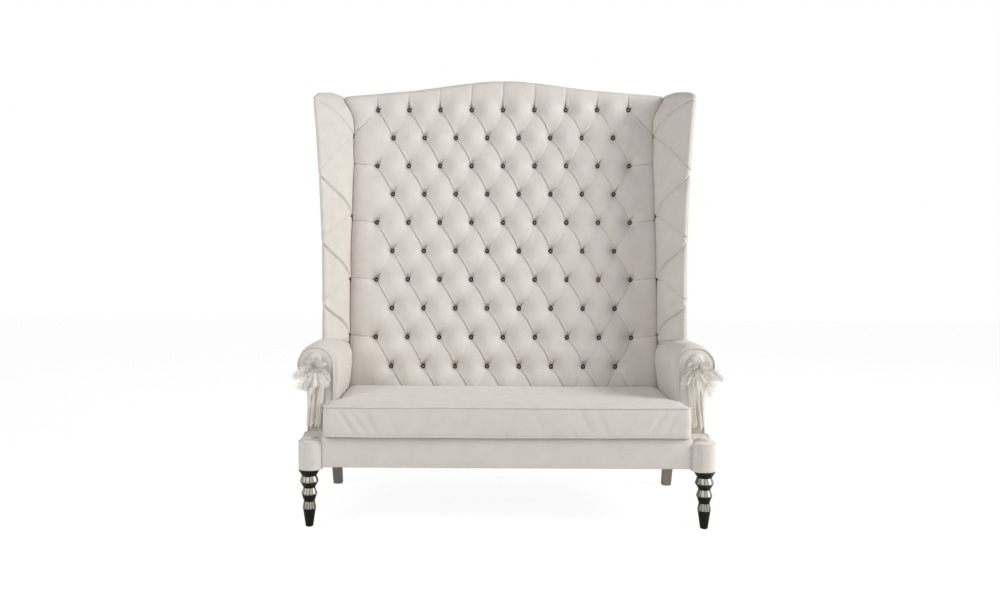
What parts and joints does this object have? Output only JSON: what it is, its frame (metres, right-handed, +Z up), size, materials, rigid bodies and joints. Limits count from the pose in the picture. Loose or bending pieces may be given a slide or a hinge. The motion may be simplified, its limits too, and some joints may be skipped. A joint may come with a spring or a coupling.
{
  "type": "high back settee",
  "caption": "High back wing settee with a diamond-tufted back, rolled arms, a loose boxed seat cushion, turned front legs and hanging feather tassels.",
  "frame": {"origin": "on the floor, under the middle of the overall box", "axes": "+Z up, the front of the seat faces -Y, +X to the sitter's left"},
  "size_m": [1.666, 0.775, 1.8421],
  "materials": {
    "ivory_fabric": "soft woven upholstery satin, matt with a faint sheen",
    "black_lacquer": "high gloss black lacquer with silver leaf bands",
    "taupe_paint": "satin paint",
    "nylon_glide": "moulded nylon",
    "zinc_steel": "zinc plated",
    "spring_wire": "drawn spring wire",
    "frame_beech": "planed, unfinished",
    "jute": "coarse woven jute",
    "black_cambric": "non-woven dust cloth",
    "foam": "open-cell foam",
    "dark_nickel": "polished dark nickel",
    "silk_ribbon": "satin silk",
    "feather": "soft down and quill"
  },
  "bodies": {
    "settee_frame": {"front_leg_left": "black_lacquer", "front_leg_right": "black_lacquer", "rear_leg_left": "taupe_paint", "rear_leg_right": "taupe_paint", "leg_glides": "nylon_glide", "leg_bolts": "zinc_steel", "leg_inserts": "zinc_steel", "front_post_left": "frame_beech", "front_post_right": "frame_beech", "rear_post_left": "frame_beech", "rear_post_right": "frame_beech", "front_rail": "frame_beech", "rear_rail": "frame_beech", "side_rail_left": "frame_beech", "side_rail_right": "frame_beech", "seat_stretchers": "frame_beech", "corner_braces": "frame_beech", "seat_springs": "spring_wire", "spring_clips": "zinc_steel", "deck_cloth": "jute", "deck_pad": "ivory_fabric", "dust_cover": "black_cambric", "block_cover_left": "ivory_fabric", "block_cover_right": "ivory_fabric", "block_cap_left": "ivory_fabric", "block_cap_right": "ivory_fabric", "front_border": "ivory_fabric", "arm_frame_left": "frame_beech", "arm_frame_right": "frame_beech", "arm_pad_left": "ivory_fabric", "arm_pad_right": "ivory_fabric", "arm_facing_left": "ivory_fabric", "arm_facing_right": "ivory_fabric", "facing_welts": "ivory_fabric", "outside_arm_left": "ivory_fabric", "outside_arm_right": "ivory_fabric", "back_stiles": "frame_beech", "back_rails": "frame_beech", "crest_rail": "frame_beech", "back_webbing": "jute", "outside_back": "ivory_fabric", "tufted_back_pad": "ivory_fabric", "back_buttons": "dark_nickel", "wing_frame_left": "frame_beech", "wing_frame_right": "frame_beech", "wing_pad_left": "ivory_fabric", "wing_pad_right": "ivory_fabric", "tassel_hooks": "dark_nickel"},
    "seat_cushion": {"seat_cushion_cover": "ivory_fabric", "seat_cushion_core": "foam", "cushion_piping_top": "ivory_fabric", "cushion_piping_bottom": "ivory_fabric"},
    "tassel_left": {"tassel_ribbons_left": "silk_ribbon", "feather_rosette_left": "feather"},
    "tassel_right": {"tassel_ribbons_right": "silk_ribbon", "feather_rosette_right": "feather"}
  },
  "joints": [
    {"name": "cushion_slide", "type": "slide", "parent": "settee_frame", "child": "seat_cushion", "axis": [0, -1, 0], "range_m": [0, 0.25]},
    {"name": "tassel_left_swing", "type": "hinge", "parent": "settee_frame", "child": "tassel_left", "pos_m": [-0.752, -0.2265, 0.64], "axis": [0, 1, 0], "range_deg": [-3, 15]},
    {"name": "tassel_right_swing", "type": "hinge", "parent": "settee_frame", "child": "tassel_right", "pos_m": [0.752, -0.2265, 0.64], "axis": [0, 1, 0], "range_deg": [-15, 3]}
  ]
}
